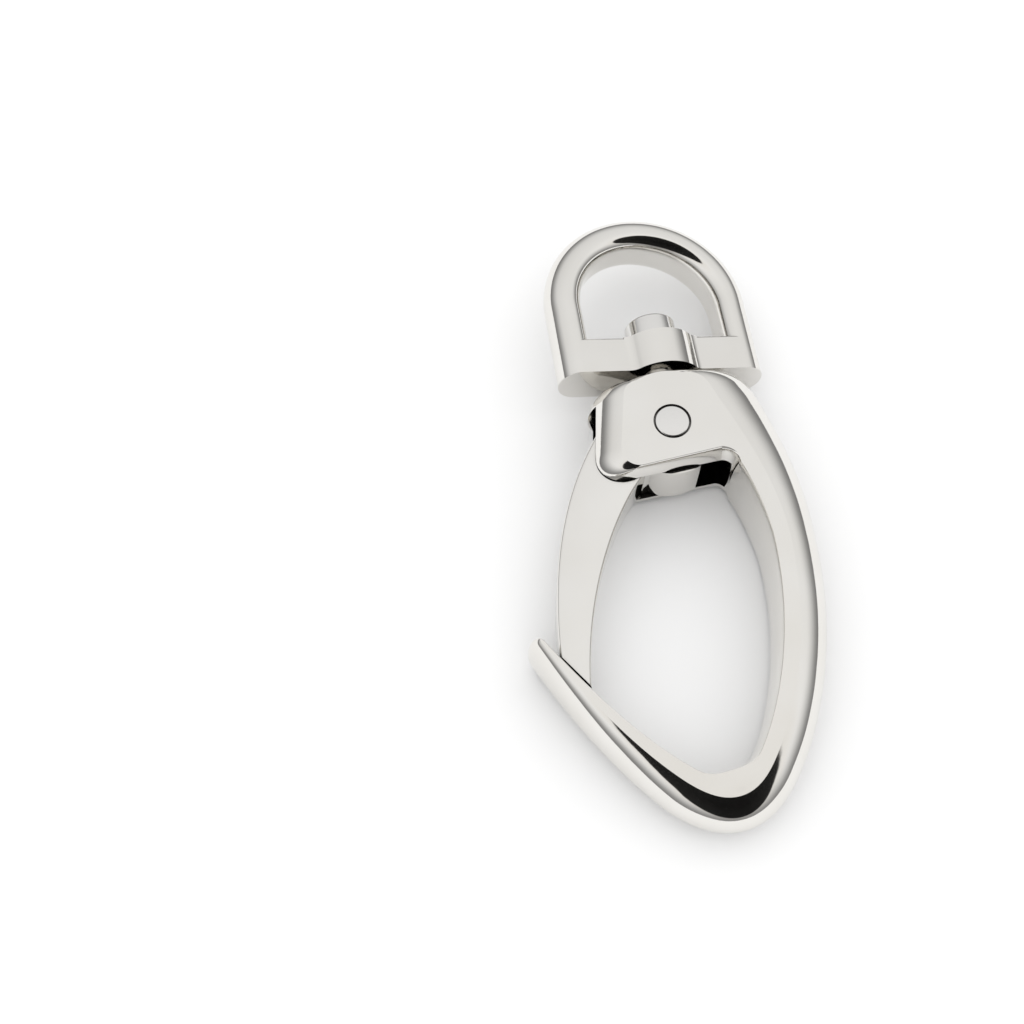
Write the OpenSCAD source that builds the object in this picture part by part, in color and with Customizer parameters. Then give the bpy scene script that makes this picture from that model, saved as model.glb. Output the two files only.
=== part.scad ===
/* [Body] */
// Thickness of the body at the gate rivet
body_t = 8.0; // [7.6:0.1:9.5]
// Thickness of the body at the far end of the bow
bow_t = 4.9; // [4.2:0.1:6]
// Distance from the gate rivet to the outside of the bow
hook_reach = 35.6; // [33:0.1:40]
// Width of the back bar beside the window, seen from above
spine_w = 4.6; // [4:0.1:5.4]
// Width of the bow at the far end
bow_w = 4.8; // [4:0.1:5.2]
// Width of the nose where it leaves the bow
nose_w = 3.6; // [3:0.1:4]
// Width of the nose just before its blunt end
nose_tip_w = 1.7; // [1.4:0.1:2.2]
// Small rounding along the window side of the casting
rim_r = 0.45; // [0.3:0.05:0.6]
// Distance from the swivel axis to the gate side of the base
base_left = 7.9; // [7.4:0.1:8.6]
// Rounding of the base edges at the eye end and at the window
base_edge = 0.75; // [0.5:0.05:1]
// Width of the soft bevel along the gate side of the base
base_bevel = 2.9; // [1.5:0.1:3.4]
// How far the eye end of the base bulges out in its middle
base_crown = 0.7; // [0.2:0.1:1]
// Wall between the slot and the eye end of the base, at the swivel post
end_wall = 2.5; // [2.2:0.1:3]

/* [Gate] */
// Distance from the rivet to the wall at the eye end of the slot
slot_depth = 3.3; // [3.1:0.1:4]
// Height of the slot between the two cheeks
slot_h = 4.6; // [4.5:0.1:5]
// Distance from the swivel axis to the closed side of the slot
slot_right = 4.1; // [3.8:0.1:4.4]
// Side play of the gate in its slot, on each face
gate_play = 0.08; // [0.04:0.01:0.15]
// Thickness of the gate at its free end
gate_tip_t = 3.6; // [3:0.1:4]
// Radius of the toe that swings past the cheeks beside the window
toe_r = 4.3; // [4.1:0.05:4.6]
// Radius of the gate's eyelet round the rivet
eyelet_r = 2.35; // [2.1:0.05:2.4]
// Chamfer along the edges of the gate
gate_chamfer = 0.35; // [0.2:0.05:0.5]
// Gap between the end of the gate and the nose
gate_gap = 0.12; // [0.08:0.01:0.3]

/* [Rivet and spring] */
// Diameter of the gate rivet
rivet_d = 3.0; // [2.6:0.1:3.1]
// Running clearance of the gate on its rivet, on the radius
rivet_play = 0.06; // [0.03:0.01:0.09]
// Width of the groove round each end of the rivet
rivet_groove = 0.17; // [0.1:0.01:0.25]
// Depth of that groove
groove_depth = 0.35; // [0.2:0.05:0.6]
// Distance of the rivet from the swivel axis, towards the gate side
rivet_side = 0.6; // [0.4:0.1:0.9]
// Wire diameter of the gate spring
wire_d = 0.5; // [0.4:0.05:0.5]
// Turns of the gate spring
spring_turns = 3; // [2:1:3]

/* [Swivel post] */
// Diameter of the post's shank
shank_d = 3.2; // [2.6:0.1:3.4]
// Diameter of the post's head
head_d = 4.75; // [4.2:0.05:4.9]
// How far the head stands out of the eye's boss
head_out = 2.6; // [1.5:0.1:3]
// Running clearance of the eye on the shank, on the radius
post_play = 0.06; // [0.03:0.01:0.09]
// Diameter of the peened tail inside the slot
tail_d = 4.1; // [3.8:0.1:4.2]
// Thickness of the peened tail
tail_t = 0.75; // [0.5:0.05:0.8]
// End play between the body, the eye and the post's head
end_play = 0.5; // [0.3:0.05:0.7]

/* [Eye] */
// Clear width of the eye, for a strap of about 13 mm
eye_inner_w = 13.2; // [11:0.1:16]
// Width of each leg of the eye
eye_leg_w = 3.2; // [2.8:0.1:4]
// Thickness of the eye
eye_t = 4.4; // [3.8:0.1:4.8]
// Thickness of the bow of the eye, at its top
eye_bow_w = 3.6; // [3.2:0.1:4.2]
// Clear length of the eye, from the crossbar to the top
eye_inner_l = 10.6; // [9:0.1:14]
// Depth of the crossbar along the swivel axis
bar_l = 3.6; // [3.2:0.1:4.4]
// Radius of the boss on the crossbar
boss_r = 3.7; // [3.4:0.05:4]
// Hollow fillet between the boss and the crossbar
boss_fillet = 1.2; // [0.8:0.1:1.5]
// Diameter of the recess for the post's head
recess_d = 5.2; // [5:0.05:5.4]
// Depth of that recess
recess_l = 1.2; // [0.8:0.1:1.6]
// How far the eye has turned on its post where it lies
eye_turn = 10; // [0:1:14]

/* [Hidden] */
$fn = 64;

nickel = [0.80, 0.79, 0.77];
steel = [0.72, 0.72, 0.71];

// The hook frame: origin on the swivel axis at the slot's end wall, Y towards the eye,
// Z square to the mid plane between the two flat faces
rivet_x = -rivet_side;
rivet_y = -slot_depth;
bow_y = rivet_y - hook_reach;
half_wedge = atan((body_t - bow_t) / 2 / hook_reach);
face_slope = tan(half_wedge);
function half_t(y) = body_t / 2 + (y - rivet_y) * face_slope;

// Cubic curves and the profile that the casting shares
function bez(p, t) = pow(1 - t, 3) * p[0] + 3 * pow(1 - t, 2) * t * p[1]
    + 3 * (1 - t) * t * t * p[2] + t * t * t * p[3];
function bez_dir(p, t) = 3 * pow(1 - t, 2) * (p[1] - p[0]) + 6 * (1 - t) * t * (p[2] - p[1])
    + 3 * t * t * (p[3] - p[2]);
function unit(v) = v / norm(v);
function polar(r, a) = r * [cos(a), sin(a)];
function mix(a, b, t) = a + (b - a) * t;
// Faces of a closed skin through rings that all have the same number of points
function closed_rings(rings, count) = concat(
    [[for (i = [count - 1:-1:0]) i]],
    [for (k = [0:rings - 2], i = [0:count - 1]) each let (j = (i + 1) % count, a = k * count, b = a + count)
        [[a + i, a + j, b + j], [a + i, b + j, b + i]]],
    [[for (i = [0:count - 1]) (rings - 1) * count + i]]);
module skin(rings) {
    polyhedron([for (r = rings) each r], closed_rings(len(rings), len(rings[0])), convexity = 8);
}

// Flank of the casting: from the crease on the flat face, at 0, to the parting line, at 1
flank_steps = 8;
crease_angle = 14;
function flank_angle(i) = mix(crease_angle, 90, i / flank_steps);
function flank_out(i) = (sin(flank_angle(i)) - sin(crease_angle)) / (1 - sin(crease_angle));
function flank_up(i) = cos(flank_angle(i)) / cos(crease_angle);

// Centre line of the back bar, the bow and the nose, as four cubic curves
line_start = [rivet_x + 5.75, rivet_y + 1.9];
line_mid = [rivet_x + 8.5, rivet_y - 11.5];
bow_c = [rivet_x - 0.8, bow_y + bow_w / 2];
bow_in = bow_c + [3.8, 2.6];
bow_in_dir = polar(1, 235);
bow_out = bow_c + [-4.2, 1.6];
bow_out_dir = polar(1, 138);
nose_end = bow_c + [-13.8, 14.6];
nose_dir = polar(1, 119);
line = [
    [line_start, line_start + [1.8, -5], line_mid + [0, 4.5], line_mid],
    [line_mid, line_mid - [0, 7.5], bow_in - 5.5 * bow_in_dir, bow_in],
    [bow_in, bow_in + 3.4 * bow_in_dir, bow_out - 3.4 * bow_out_dir, bow_out],
    [bow_out, bow_out + 5 * bow_out_dir, nose_end - 5 * nose_dir, nose_end],
];
// Widths at the five ends of those curves, and how wide the flank is there
base_swell = 1.95;
bow_neck = spine_w - 0.5;
nose_root = nose_w + 0.2;
line_w = [spine_w + base_swell, spine_w + 0.2, bow_neck, nose_root, nose_tip_w];
flank_w = [4.5, 2.95, 2.4, 2.1, 1.0];
line_steps = 14;
stations = 4 * line_steps;
function seg(k) = min(3, floor(k / line_steps));
function seg_t(k) = k / line_steps - seg(k);
function line_at(k) = bez(line[seg(k)], seg_t(k));
function line_dir(k) = unit(bez_dir(line[seg(k)], seg_t(k)));
function bow_swell(k) = seg(k) == 2 ? (bow_w - (bow_neck + nose_root) / 2) * pow(sin(180 * seg_t(k)), 2) : 0;
function line_width(k) = mix(line_w[seg(k)], line_w[seg(k) + 1], seg_t(k)) + bow_swell(k);
function line_flank(k) = mix(flank_w[seg(k)], flank_w[seg(k) + 1], seg_t(k));

function rail(k, from_outer) = let (d = line_dir(k))
    line_at(k) + [-d[1], d[0]] * (line_width(k) / 2 - from_outer);
function window_rail(k, inside) = rail(k, line_width(k) - inside);

// Base: corners of its outline, and where its window side runs into the back bar
base_end = end_wall;
base_below_rivet = 3.75;
base_low = rivet_y - base_below_rivet;
base_drop = 1.05;
base_flare = 0.95;
corner_steps = 6;
corner_r = [2.2, 2.8, 2.3];
window_fillet = 0.9;
fillet_y = base_low - window_fillet;
spine_x = lookup(fillet_y, [for (k = [2 * line_steps:-1:0]) let (p = window_rail(k, 0)) [p[1], p[0]]]);
fillet_x = spine_x - window_fillet;
base_taper = 0.85;
shoulder_in = 1.2;
shoulder_drop = 0.3;
function base_corners(left, edge, right) = [
    [-base_left + base_taper + left, base_end - base_crown - edge],
    [right[0] - shoulder_in, base_end - shoulder_drop - edge],
    [-base_left - base_flare + left, base_low - base_drop + edge],
];
function corner(p, before, after, r) = let (
    a = unit(before - p),
    b = unit(after - p),
    turn = acos(a * b),
    reach = r / tan(turn / 2),
    c = p + unit(a + b) * r / sin(turn / 2),
    from = p + a * reach - c,
    to = p + b * reach - c,
    a0 = atan2(from[1], from[0]),
    a1 = atan2(to[1], to[0]),
    sweep = ((a1 - a0 + 540) % 360) - 180)
    [for (k = [0:corner_steps]) c + polar(r, a0 + sweep * k / corner_steps)];
crown_steps = 8;
crown_full = 2.6;
function crown(a, b) = [for (k = [1:crown_steps - 1]) let (t = k / crown_steps)
    mix(a, b, t) + [0, base_crown * crown_full * t * (1 - t)]];

// Outline of the whole casting: at the parting line, or along the crease on its flat faces
tip_steps = 6;
tip_r = 1.1;
tip_crease = 0.3;
function tip(deep) = let (
    d = nose_dir,
    out = [-d[1], d[0]],
    f = deep ? flank_w[4] : 0,
    r = deep ? rim_r : 0,
    ahead = deep ? tip_crease : tip_r)
    [for (k = [1:tip_steps - 1]) let (a = 180 * k / tip_steps)
        nose_end + out * ((r - f) / 2 + (nose_tip_w - f - r) / 2 * cos(a)) + d * ahead * sin(a)];
function outline(deep) = let (
    edge = deep ? base_edge : 0,
    left = deep ? base_bevel : 0,
    rim = deep ? rim_r : 0,
    back = [for (k = [0:stations]) rail(k, deep ? line_flank(k) : 0)],
    clear_y = fillet_y - window_fillet / 3,
    window = [for (k = [stations:-1:0]) if (window_rail(k, 0)[1] < clear_y) window_rail(k, rim)],
    fillet = [for (k = [0:corner_steps]) let (t = k / corner_steps)
        [fillet_x, fillet_y] + polar(window_fillet + mix(rim, edge, t), 90 * t)],
    q = base_corners(left, edge, back[0]),
    c0 = corner(q[0], q[2], q[1], corner_r[0] - edge),
    c1 = corner(q[1], q[0], back[0], corner_r[1] - edge),
    c2 = corner(q[2], fillet[corner_steps], q[0], corner_r[2] - edge))
    concat(c0, crown(c0[corner_steps], c1[0]), c1, back, tip(deep), window, fillet, c2);
// The rounded skin runs a little past the crease, and the wedge of the two flat faces cuts it there
past = 0.5;
box_corners = [[-1, -1], [1, -1], [1, 1], [-1, 1]];
module wedge(middle, reach) {
    polygon([for (e = box_corners) let (y = middle + e[0] * reach) [y, e[1] * half_t(y)]]);
}
module casting() {
    outer = outline(false);
    inner = outline(true);
    end = [-past * flank_out(1), 1 + past * (1 - flank_up(1))];
    high = concat([for (i = [flank_steps - 1:-1:1]) [flank_out(i), flank_up(i)]], [end]);
    low = concat([[end[0], -end[1]]], [for (i = [1:flank_steps]) [flank_out(i), -flank_up(i)]]);
    intersection() {
        skin([for (l = concat(low, high))
            [for (k = [0:len(outer) - 1]) let (p = mix(inner[k], outer[k], l[0]))
                [p[0], p[1], l[1] * half_t(p[1])]]]);
        rotate([90, 0, 90]) linear_extrude(2 * hook_reach, center = true) wedge(0, 1.5 * hook_reach);
    }
}

slot_corner = 0.9;
slot_low = base_low - base_drop - 1;
module slot() {
    left = -2 * base_left;
    translate([0, 0, -slot_h / 2]) linear_extrude(slot_h) {
        translate([left, slot_low]) square([slot_right - slot_corner - left, -slot_low]);
        translate([left, slot_low]) square([slot_right - left, -slot_low - slot_corner]);
        translate([slot_right - slot_corner, -slot_corner]) circle(slot_corner);
    }
}
module rivet_holes() {
    translate([rivet_x, rivet_y, -body_t]) cylinder(h = 2 * body_t, d = rivet_d);
    for (s = [-1, 1]) translate([rivet_x, rivet_y, s * (body_t / 2 + 1 - groove_depth)])
        cylinder(h = 2, d = rivet_d + 2 * rivet_groove, center = true);
}
module post_hole() {
    translate([0, end_wall * 2, 0]) rotate([90, 0, 0]) cylinder(h = end_wall * 2 + slot_depth, d = shank_d);
}

// How the hook lies: its back face down, so its axis climbs by half the wedge towards the eye
module at_rest() {
    translate([0, 0, half_t(0) * cos(half_wedge)]) rotate([half_wedge, 0, 0]) children();
}

module hook_body() color(nickel) at_rest() difference() {
    casting();
    slot();
    rivet_holes();
    post_hole();
}

// Gate: an arm between two curves, its end laid along the nose, and a toe and an eyelet in the slot
rivet_at = [rivet_x, rivet_y];
gate_t = slot_h - 2 * gate_play;
// Where along the curves the gate's end meets the nose, and two places beside it that give the direction
meet = 3.78;
meet_after = 3.9;
meet_before = 3.62;
nose_face = rail_in(meet);
nose_face_dir = unit(rail_in(meet_after) - rail_in(meet_before));
gate_square = [nose_face_dir[1], -nose_face_dir[0]];
end_inner = 1.75;
end_outer = 2.0;
gate_end_in = nose_face + gate_square * gate_gap - nose_face_dir * end_inner;
gate_end_out = nose_face + gate_square * gate_gap + nose_face_dir * end_outer;
gate_outer = [rivet_at + [-6.1, 1.2], rivet_at + [-9.6, -3.2], rivet_at + [-12.4, -9.4], gate_end_out];
gate_inner = [rivet_at + [-2.5, -3.4], rivet_at + [-5.3, -5.7], rivet_at + [-9.8, -13.2], gate_end_in];
gate_steps = 20;
function rail_in(u) = let (
    k = u * line_steps,
    n = floor(k),
    next = min(n + 1, stations),
    d = unit(line_at(next) - line_at(n)),
    w = mix(line_width(n), line_width(next), k - n))
    mix(line_at(n), line_at(next), k - n) + [d[1], -d[0]] * w / 2;
function gate_half(t) = mix(gate_t, gate_tip_t, t) / 2;
function gate_ring(t) = let (
    o = bez(gate_outer, t),
    i = bez(gate_inner, t),
    x = unit(o - i),
    w = norm(o - i),
    h = gate_half(t),
    c = gate_chamfer)
    [for (q = [[c * 0.35, -h + c * 0.3], [c * 1.1, -h], [w - c * 1.1, -h], [w - c * 0.35, -h + c * 0.3],
        [w, -h + c], [w, h - c], [w - c * 0.35, h - c * 0.3], [w - c * 1.1, h],
        [c * 1.1, h], [c * 0.35, h - c * 0.3], [0, h - c], [0, -h + c]])
        let (p = i + x * q[0]) [p[0], p[1], q[1]]];
spring_room = 0.12;
coil_r = rivet_d / 2 + spring_room + wire_d / 2;
coil_pitch = wire_d + 0.06;
coil_low = gate_t / 2 - spring_turns * coil_pitch - wire_d - 2 * spring_room;
pocket_r = 2.6;
leg_l = 5.9;
leg_angle = 183.5;
leg_seat = 0.02;
leg_room = wire_d + leg_seat + 2 * spring_room;
toe_from = -44;
toe_to = -124;
toe_tip = 0.8;
round_end = 22;
module gate_arm() {
    skin([for (k = [0:gate_steps]) gate_ring(k / gate_steps)]);
}
module gate_hub() {
    translate([0, 0, -gate_t / 2]) linear_extrude(gate_t)
        polygon(concat(
            [gate_outer[0] + [0.02, -0.02]],
            [for (a = [100:-10:-30]) rivet_at + polar(eyelet_r, a)],
            [for (a = [15:15:90]) rivet_at
                + polar(toe_r - toe_tip * (1 - sin(a)), toe_from - round_end * (1 - cos(a)))],
            [for (a = [toe_from - round_end - 6:-6:toe_to]) rivet_at + polar(toe_r, a)],
            [gate_inner[0] + [-0.4, -0.4], gate_inner[0] + [-1.5, 0]]));
}
module spring_pocket() {
    translate([rivet_x, rivet_y, coil_low]) linear_extrude(gate_t) {
        circle(pocket_r);
        rotate(leg_angle) translate([0, coil_r - wire_d / 2 - leg_seat])
            square([leg_l + spring_room, leg_room]);
    }
}
module gate() color(nickel) at_rest() difference() {
    union() {
        gate_arm();
        gate_hub();
    }
    spring_pocket();
    translate([rivet_x, rivet_y, -gate_t]) cylinder(h = 2 * gate_t, r = rivet_d / 2 + rivet_play);
}

module gate_rivet() color(steel) at_rest() intersection() {
    translate([rivet_x, rivet_y, -body_t]) cylinder(h = 2 * body_t, d = rivet_d);
    rotate([90, 0, 90]) linear_extrude(4 * rivet_d, center = true) wedge(rivet_y, rivet_d);
}

// Gate spring: a coil round the rivet with one leg on the slot's end wall and one along the gate
coil_steps = 16;
wire_sides = 8;
coil_bottom = coil_low + spring_room + wire_d / 2;
leg_fixed = [slot_right - slot_corner, -wire_d / 2 - leg_seat] - rivet_at;
coil_from = leg_angle + 90;
coil_to = atan2(leg_fixed[1], leg_fixed[0]) - acos(coil_r / norm(leg_fixed)) + 360;
coil_turn = coil_to - coil_from + 360 * (spring_turns - 1);
function coil_point(t) = concat(rivet_at + polar(coil_r, coil_from + coil_turn * t),
    [coil_bottom + coil_pitch * spring_turns * t]);
spring_line = concat(
    [concat(rivet_at + polar(coil_r, coil_from) + polar(leg_l, leg_angle), [coil_bottom])],
    [for (i = [0:coil_steps * spring_turns]) coil_point(i / (coil_steps * spring_turns))],
    [concat(rivet_at + leg_fixed, [coil_point(1)[2]])]);
module gate_spring() color(steel) at_rest() skin([for (i = [0:len(spring_line) - 1])
    let (d = unit(spring_line[min(i + 1, len(spring_line) - 1)] - spring_line[max(i - 1, 0)]),
        u = unit(cross([0, 0, 1], d)), v = cross(d, u))
    [for (k = [0:wire_sides - 1]) let (a = -360 * k / wire_sides)
        spring_line[i] + (u * cos(a) + v * sin(a)) * wire_d / 2]]);

// Swivel post: a headed shank through the boss of the eye and the end wall, peened over inside the slot
bar_y = end_wall + end_play;
bar_end = bar_y + bar_l;
recess_y = bar_end - recess_l;
head_y = recess_y + end_play * 0.1;
head_end = bar_end + head_out;
head_chamfer = 0.3;
module swivel_post() color(steel) at_rest() rotate([-90, 0, 0]) rotate_extrude() polygon([
    [0, -tail_t], [tail_d / 2 - tail_t * 0.5, -tail_t], [tail_d / 2, -tail_t * 0.45], [tail_d / 2, 0],
    [shank_d / 2, 0], [shank_d / 2, head_y], [head_d / 2, head_y], [head_d / 2, head_end - head_chamfer],
    [head_d / 2 - head_chamfer, head_end], [0, head_end]]);

// Eye: a D-shaped ring, round outside and flat inside, with a crossbar that swells into a bored boss
eye_half = eye_inner_w / 2 + eye_leg_w;
bow_in_y = bar_end + eye_inner_l - eye_inner_w / 2;
bow_out_y = bar_end + eye_inner_l + eye_bow_w - eye_half;
rim_round = 1.2;
rim_drop = 1.5;
round_steps = 5;
eye_round = 2.0;
rim_steps = 10;
function eye_edge() = concat([[0, -eye_t / 2]],
    [for (a = [-90:180 / rim_steps:90]) [eye_half - eye_round * (1 - cos(a)), sin(a) * eye_t / 2]],
    [[0, eye_t / 2]]);
function mirrored(edge) = [for (i = [len(edge) - 2:-1:1]) [-edge[i][0], edge[i][1]]];
function window_edge(r) = let (h = eye_t / 2, out = r + rim_round) concat(
    [[0, -h - 1], [out, -h - 1]],
    [for (k = [0:round_steps]) let (a = 90 * k / round_steps)
        [out - rim_round * sin(a), -h + rim_drop * (1 - cos(a))]],
    [for (k = [round_steps:-1:0]) let (a = 90 * k / round_steps)
        [out - rim_round * sin(a), h - rim_drop * (1 - cos(a))]],
    [[out, h + 1], [0, h + 1]]);
module eye_blank() {
    translate([0, bow_out_y, 0]) rotate_extrude(angle = 180) polygon(eye_edge());
    translate([0, bow_out_y, 0]) rotate([90, 0, 0]) linear_extrude(bow_out_y - bar_y)
        polygon(concat(eye_edge(), mirrored(eye_edge())));
}
module eye_window() {
    edge = window_edge(eye_inner_w / 2);
    translate([0, bow_in_y, 0]) rotate_extrude(angle = 180) polygon(edge);
    translate([0, bow_in_y, 0]) rotate([90, 0, 0]) linear_extrude(bow_in_y - bar_end)
        polygon(concat(edge, mirrored(edge)));
}
module boss() {
    foot = [sqrt(pow(boss_r + boss_fillet, 2) - pow(eye_t / 2 + boss_fillet, 2)), eye_t / 2 + boss_fillet];
    tangent = foot * boss_r / (boss_r + boss_fillet);
    translate([0, bar_end, 0]) rotate([90, 0, 0]) linear_extrude(bar_l) {
        circle(boss_r);
        difference() {
            square([2 * foot[0], 2 * tangent[1]], center = true);
            for (x = [-1, 1], z = [-1, 1]) translate([x * foot[0], z * foot[1]]) circle(boss_fillet);
        }
    }
}
recess_chamfer = 0.25;
module swivel_eye() color(nickel) at_rest() rotate([0, eye_turn, 0]) difference() {
    union() {
        difference() {
            eye_blank();
            eye_window();
        }
        boss();
    }
    rotate([-90, 0, 0]) cylinder(h = 2 * bar_end, r = shank_d / 2 + post_play);
    translate([0, recess_y, 0]) rotate([-90, 0, 0]) cylinder(h = bar_l, d = recess_d);
    translate([0, bar_end - recess_chamfer, 0]) rotate([-90, 0, 0])
        cylinder(h = 2 * recess_chamfer, d1 = recess_d, d2 = recess_d + 4 * recess_chamfer);
}

hook_body();
gate();
gate_rivet();
gate_spring();
swivel_post();
swivel_eye();
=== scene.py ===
from math import acos, atan, atan2, cos, degrees, pi, radians, sin, sqrt, tan

import bmesh
import bpy
from bpy.props import FloatProperty, FloatVectorProperty, IntProperty, PointerProperty
from bpy.types import Operator, Panel, PropertyGroup
from mathutils import Matrix, Vector


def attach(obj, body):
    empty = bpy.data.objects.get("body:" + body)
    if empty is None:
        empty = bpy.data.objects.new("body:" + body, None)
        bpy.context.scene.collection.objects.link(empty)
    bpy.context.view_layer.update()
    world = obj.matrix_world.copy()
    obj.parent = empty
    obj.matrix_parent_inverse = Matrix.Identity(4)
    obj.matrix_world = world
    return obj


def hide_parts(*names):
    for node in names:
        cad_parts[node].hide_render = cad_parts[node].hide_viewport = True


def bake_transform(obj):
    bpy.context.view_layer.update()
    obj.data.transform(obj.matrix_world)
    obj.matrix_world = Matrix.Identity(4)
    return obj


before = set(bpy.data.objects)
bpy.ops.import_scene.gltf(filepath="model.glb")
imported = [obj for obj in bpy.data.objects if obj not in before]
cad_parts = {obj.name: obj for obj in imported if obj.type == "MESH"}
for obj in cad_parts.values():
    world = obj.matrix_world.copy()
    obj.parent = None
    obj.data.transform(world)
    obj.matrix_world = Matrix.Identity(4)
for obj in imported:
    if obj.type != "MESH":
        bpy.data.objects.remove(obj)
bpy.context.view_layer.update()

bl_info = {
    "name": "Swivel Snap Hook",
    "version": (1, 0, 0),
    "blender": (4, 5, 0),
    "location": "3D View > Sidebar > Snap Hook",
    "description": "Models and finishes a polished swivel snap hook and its studio",
    "category": "Object",
}

# The pieces are modelled in mm, in the hook's own frame, and laid down in metres when they are finished
MM = 0.001

# What the gate's pocket shares with its spring, in mm and degrees
COIL_TURNS = 3
COIL_ROOM = 0.12
COIL_GAP = 0.06
LEG_LENGTH = 5.9
LEG_HEADING = 183.5
LEG_SEAT = 0.02


def length(name, description, default):
    """A size in metres."""
    return FloatProperty(name=name, description=description, default=default, unit="LENGTH")


class SNAPHOOK_PG_casting(PropertyGroup):
    """Sizes of the hook's casting, as the construction has them."""

    body_t: length("Body thickness", "At the gate rivet", 0.008)
    bow_t: length("Bow thickness", "At the far end", 0.0049)
    reach: length("Reach", "From the rivet to the outside of the bow", 0.0356)
    spine_w: length("Back bar width", "Seen from above", 0.0046)
    bow_w: length("Bow width", "At the far end", 0.0048)
    nose_w: length("Nose width", "Where it leaves the bow", 0.0036)
    nose_tip_w: length("Nose tip width", "Before the blunt end", 0.0017)
    rim_r: length("Window rim", "Rounding on the window side", 0.00045)
    base_left: length("Base half width", "Axis to the gate side", 0.0079)
    base_edge: length("Base edge", "Rounding of the base edges", 0.00075)
    base_bevel: length("Base bevel", "Soft bevel on the gate side", 0.0029)
    base_crown: length("Base crown", "Bulge of the eye end", 0.0007)
    end_wall: length("End wall", "Between the slot and the eye end", 0.0025)
    slot_h: length("Slot height", "Between the cheeks", 0.0046)
    slot_right: length("Slot side", "Axis to the closed side", 0.0041)
    slot_depth: length("Slot depth", "Rivet to the end wall", 0.0033)
    line_steps: IntProperty(name="Steps", description="Stations along each curve", default=34, min=8)
    flank_steps: IntProperty(name="Flank steps", description="Stations round the flank", default=16, min=6)


class SNAPHOOK_PG_fittings(PropertyGroup):
    """Sizes of the gate, the rivet, the spring and the swivel."""

    rivet_side: length("Rivet offset", "From the swivel axis", 0.0006)
    rivet_d: length("Rivet diameter", "Of the gate rivet", 0.003)
    rivet_play: length("Rivet play", "On the radius", 0.00006)
    groove_w: length("Groove width", "Round each rivet end", 0.00017)
    groove_depth: length("Groove depth", "Round each rivet end", 0.00035)
    gate_play: length("Gate play", "On each face", 0.00008)
    gate_tip_t: length("Gate tip", "Thickness at the free end", 0.0036)
    gate_round: length("Gate rounding", "Of its long edges", 0.00035)
    gate_gap: length("Gate gap", "To the nose", 0.00012)
    toe_r: length("Toe radius", "Beside the window", 0.0043)
    eyelet_r: length("Eyelet radius", "Round the rivet", 0.00235)
    wire_d: length("Wire", "Diameter of the spring wire", 0.0005)
    shank_d: length("Shank", "Diameter of the post", 0.0032)
    head_d: length("Head", "Diameter of the post's head", 0.00475)
    head_out: length("Head height", "Out of the boss", 0.0026)
    tail_d: length("Tail", "Peened over in the slot", 0.0041)
    tail_t: length("Tail thickness", "Along the axis", 0.00075)
    end_play: length("End play", "Body to eye", 0.0005)
    eye_inner_w: length("Eye width", "Clear, for the strap", 0.0132)
    eye_leg_w: length("Eye leg", "Width of a leg", 0.0032)
    eye_t: length("Eye thickness", "Of the ring", 0.0044)
    eye_bow_w: length("Eye arch", "At its top", 0.0036)
    eye_inner_l: length("Eye length", "Clear, to the top", 0.0106)
    bar_l: length("Crossbar", "Depth along the axis", 0.0036)
    boss_r: length("Boss radius", "On the crossbar", 0.0037)
    boss_fillet: length("Boss fillet", "Hollow at its foot", 0.0012)
    recess_d: length("Recess", "For the post's head", 0.0052)
    recess_l: length("Recess depth", "Along the axis", 0.0012)
    eye_turn: FloatProperty(name="Eye turn", description="As it lies", default=radians(10), subtype="ANGLE")


class SNAPHOOK_PG_look(PropertyGroup):
    """Finish and studio."""

    nickel: FloatVectorProperty(name="Nickel", description="Of the castings", subtype="COLOR",
                                default=(0.80, 0.785, 0.755))
    pin: FloatVectorProperty(name="Pins", description="Of the rivet and the post", subtype="COLOR",
                             default=(0.74, 0.725, 0.70))
    wire: FloatVectorProperty(name="Wire", description="Of the gate spring", subtype="COLOR",
                              default=(0.60, 0.59, 0.57))
    gloss: FloatProperty(name="Roughness", description="Of the polished nickel", default=0.055, min=0, max=1)
    lens: FloatProperty(name="Lens", description="Of the camera, in mm", default=49.2)
    floor_level: FloatProperty(name="Floor", description="Whiteness of the floor", default=0.90, min=0, max=1)
    tent: FloatProperty(name="Tent", description="Brightness of the light tent", default=1.22, min=0)


def mm(group, name):
    return getattr(group, name) / MM


def mix(a, b, t):
    return a + (b - a) * t


def polar(r, a):
    return Vector((r * cos(radians(a)), r * sin(radians(a))))


def bez(p, t):
    return (1 - t) ** 3 * p[0] + 3 * (1 - t) ** 2 * t * p[1] + 3 * (1 - t) * t * t * p[2] + t**3 * p[3]


def bez_dir(p, t):
    return 3 * (1 - t) ** 2 * (p[1] - p[0]) + 6 * (1 - t) * t * (p[2] - p[1]) + 3 * t * t * (p[3] - p[2])


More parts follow.
